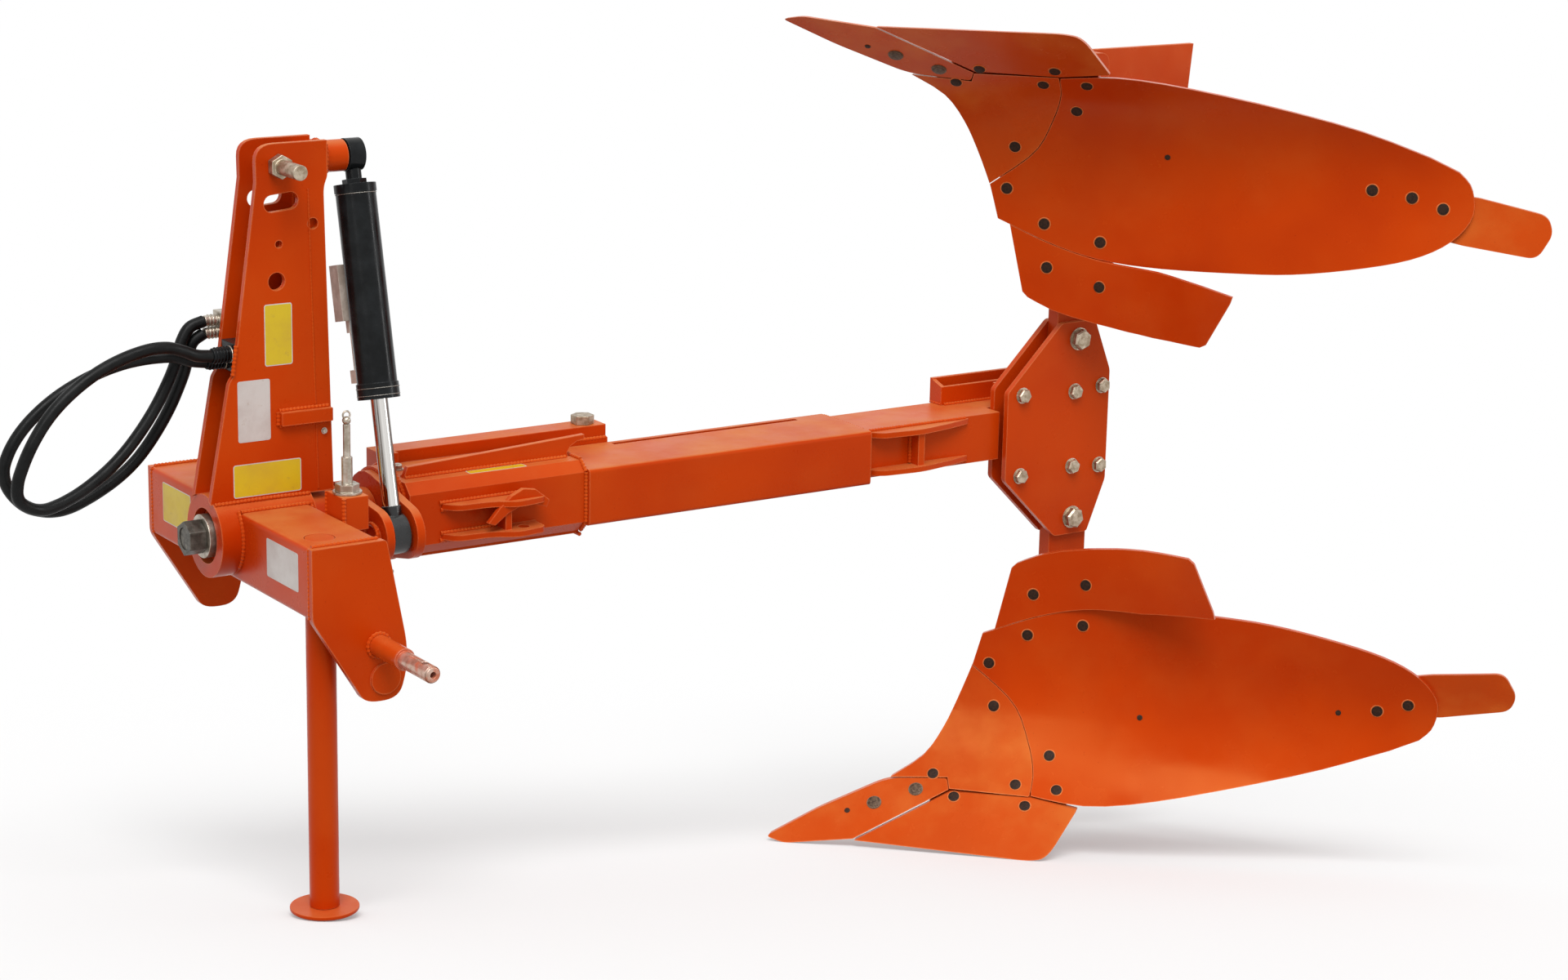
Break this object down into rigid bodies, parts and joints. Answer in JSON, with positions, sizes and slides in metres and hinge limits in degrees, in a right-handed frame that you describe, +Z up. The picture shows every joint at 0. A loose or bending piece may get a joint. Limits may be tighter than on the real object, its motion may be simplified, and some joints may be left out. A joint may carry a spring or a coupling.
{
  "type": "reversible mouldboard plough",
  "caption": "Tractor-mounted reversible mouldboard plough with mirrored upper and lower bodies, a turnover cylinder, a mast with link pins and a parking stand.",
  "frame": {"origin": "on the floor under the middle of the box around the object without its hoses, as it stands parked on its share and stand", "axes": "+X to the rear, +Y to the plough's right, +Z up"},
  "size_m": [2.6505, 1.3398, 1.545],
  "materials": {
    "orange_paint": "glossy enamel over steel",
    "black_paint": "gloss black enamel",
    "chrome_rod": "hard chrome",
    "plated_steel": "zinc plated, dull",
    "hose_rubber": "black hydraulic hose"
  },
  "bodies": {
    "headstock": {"cross_box": "orange_paint", "stand_screw": "plated_steel", "end_plate_left": "orange_paint", "lower_link_pin_left": "plated_steel", "mast_plate_left": "orange_paint", "stop_post_left": "orange_paint", "stop_screw_left": "plated_steel", "end_plate_right": "orange_paint", "lower_link_pin_right": "plated_steel", "mast_plate_right": "orange_paint", "stop_post_right": "orange_paint", "stop_screw_right": "plated_steel", "mast_channel": "orange_paint", "mast_bar": "orange_paint", "top_boss": "orange_paint", "top_link_pin": "plated_steel", "hose_block": "black_paint", "coupler_holder": "plated_steel", "hose_a": "hose_rubber", "hose_b": "hose_rubber"},
    "turning_frame": {"turnover_shaft": "orange_paint", "shaft_nut": "plated_steel", "shaft_washer": "plated_steel", "crank_lug_front": "orange_paint", "crank_lug_rear": "orange_paint", "beam_front": "orange_paint", "beam_sleeve": "orange_paint", "adjusting_bar": "orange_paint", "adjusting_bolt": "plated_steel", "beam_rear": "orange_paint", "rear_bracket": "orange_paint", "end_bracket": "orange_paint", "clamp_plate_near": "orange_paint", "clamp_plate_far": "orange_paint", "leg_lower": "orange_paint", "share_point_lower": "orange_paint", "share_lower": "orange_paint", "shin_lower": "orange_paint", "mouldboard_lower": "orange_paint", "trashboard_lower": "orange_paint", "tailpiece_lower": "orange_paint", "frog_lower": "orange_paint", "landside_lower": "orange_paint", "mouldboard_stay_lower": "orange_paint", "leg_upper": "orange_paint", "share_point_upper": "orange_paint", "share_upper": "orange_paint", "shin_upper": "orange_paint", "mouldboard_upper": "orange_paint", "trashboard_upper": "orange_paint", "tailpiece_upper": "orange_paint", "frog_upper": "orange_paint", "landside_upper": "orange_paint", "mouldboard_stay_upper": "orange_paint"},
    "cylinder_barrel": {"cylinder_barrel": "black_paint", "cylinder_valve": "plated_steel"},
    "cylinder_rod": {"cylinder_rod": "chrome_rod"},
    "parking_stand": {"stand_leg": "orange_paint", "stand_foot": "orange_paint"}
  },
  "joints": [
    {"name": "turnover", "type": "hinge", "parent": "headstock", "child": "turning_frame", "pos_m": [-0.89812, 0.157, 0.63351], "axis": [-0.9922, 0.0093, -0.124], "range_deg": [0, 180]},
    {"name": "rod_slide", "type": "slide", "parent": "cylinder_barrel", "child": "cylinder_rod", "axis": [-0.1229, 0.0784, 0.9893], "range_m": [0, 0.156]},
    {"name": "cylinder_swing", "type": "hinge", "parent": "headstock", "child": "cylinder_barrel", "pos_m": [-0.94025, 0.06684, 1.23017], "axis": [0.9922, -0.0093, 0.124], "range_deg": [0, 13.05]},
    {"name": "stand_slide", "type": "slide", "parent": "headstock", "child": "parking_stand", "axis": [-0.124, -0.1488, 0.9811], "range_m": [0, 0.3]}
  ],
  "couplings": [
    {"joint": "cylinder_swing", "follows": "rod_slide", "rad_per_m": 1.46}
  ]
}
